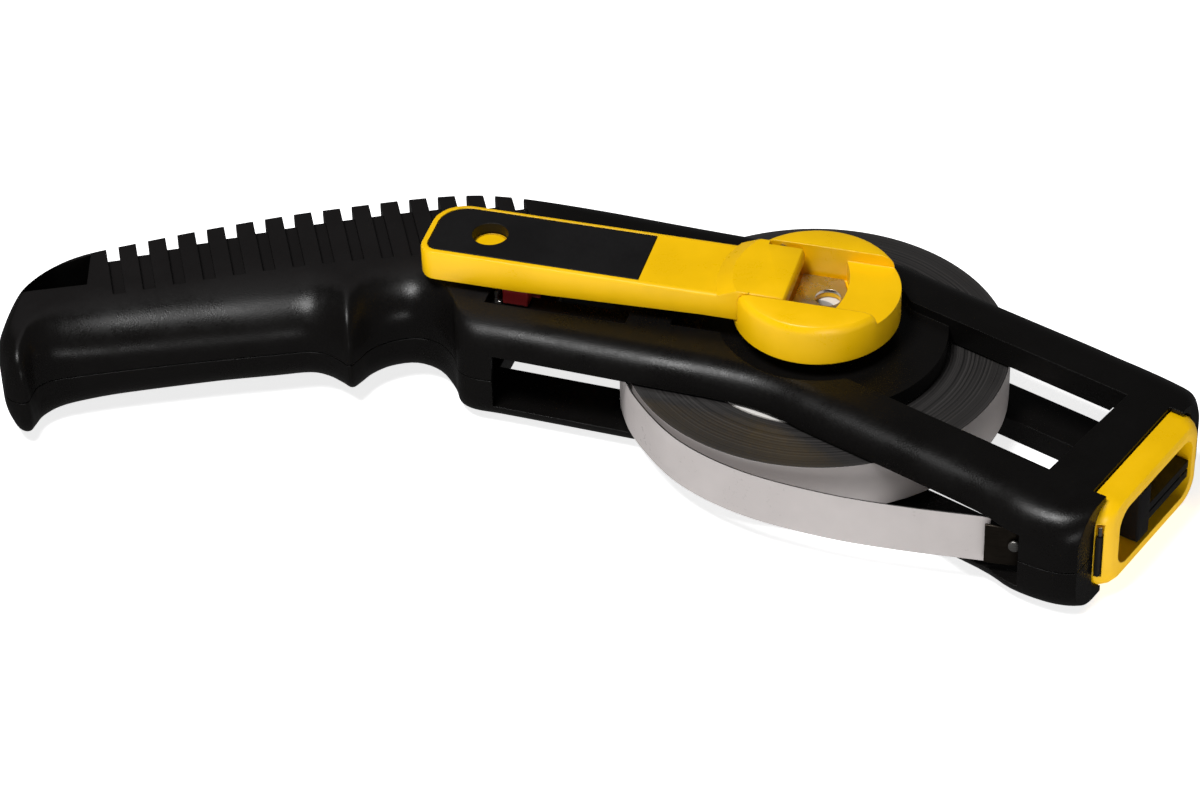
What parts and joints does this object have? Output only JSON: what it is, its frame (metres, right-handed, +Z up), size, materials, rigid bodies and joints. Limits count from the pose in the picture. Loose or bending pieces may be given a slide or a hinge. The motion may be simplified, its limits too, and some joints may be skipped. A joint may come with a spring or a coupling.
{
  "type": "surveyor tape reel",
  "caption": "Open-frame hand reel for a surveyor's steel tape: ribbed pistol grip, coil between two plates, fold-away crank, thumb brake and nose mouthpiece.",
  "frame": {"origin": "on the reel's axis, in the flat lower face that the frame lies on", "axes": "+X from the grip towards the nose, +Z up along the reel's axis"},
  "size_m": [0.2815, 0.1338, 0.0405],
  "materials": {
    "black_plastic": "satin moulded black, matt on the ribbed band",
    "yellow_plastic": "smooth moulded yellow",
    "trim_plastic": "fine-grained black",
    "pale_plastic": "smooth moulded off-white",
    "red_plastic": "smooth moulded red",
    "rubber": "matt",
    "tape_steel": "satin white-grey coat over steel",
    "steel": "bright",
    "dark_steel": "browned"
  },
  "bodies": {
    "frame": {"top_shell": "black_plastic", "bottom_shell": "black_plastic", "case_screw_1": "dark_steel", "case_screw_2": "dark_steel", "case_screw_3": "dark_steel", "case_screw_4": "dark_steel", "case_screw_5": "dark_steel", "case_screw_6": "dark_steel", "mouthpiece": "yellow_plastic", "tape_wiper": "rubber", "wiper_pin": "steel", "tape_hook": "trim_plastic", "tape_lead": "tape_steel", "leader_clip": "dark_steel", "leader_rivet": "steel", "axle": "steel", "upper_bush": "trim_plastic", "lower_bush": "trim_plastic", "detent_spring": "steel"},
    "reel": {"drum": "pale_plastic", "tape_coil": "tape_steel", "hub_disc": "yellow_plastic", "hub_plate": "steel", "hub_screw": "dark_steel", "crank_pin": "steel"},
    "crank": {"crank_arm": "yellow_plastic", "cover_plate": "trim_plastic", "knob_spindle": "yellow_plastic"},
    "knob": {"finger_knob": "trim_plastic"},
    "lock": {"lock_slide": "red_plastic", "lock_carriage": "trim_plastic", "brake_pad": "rubber"}
  },
  "joints": [
    {"name": "reel_spin", "type": "hinge", "parent": "frame", "child": "reel", "pos_m": [0, 0, 0.014], "axis": [0, 0, 1], "continuous": true},
    {"name": "crank_fold", "type": "hinge", "parent": "reel", "child": "crank", "pos_m": [-0.01052, 0.00322, 0.0382], "axis": [0.2924, 0.9563, 0], "range_deg": [0, 180]},
    {"name": "knob_spin", "type": "hinge", "parent": "crank", "child": "knob", "pos_m": [-0.0767, 0.02345, 0.032], "axis": [0, 0, 1], "continuous": true},
    {"name": "tape_lock_slide", "type": "slide", "parent": "frame", "child": "lock", "axis": [0.9563, -0.2924, 0], "range_m": [0, 0.0185]}
  ]
}
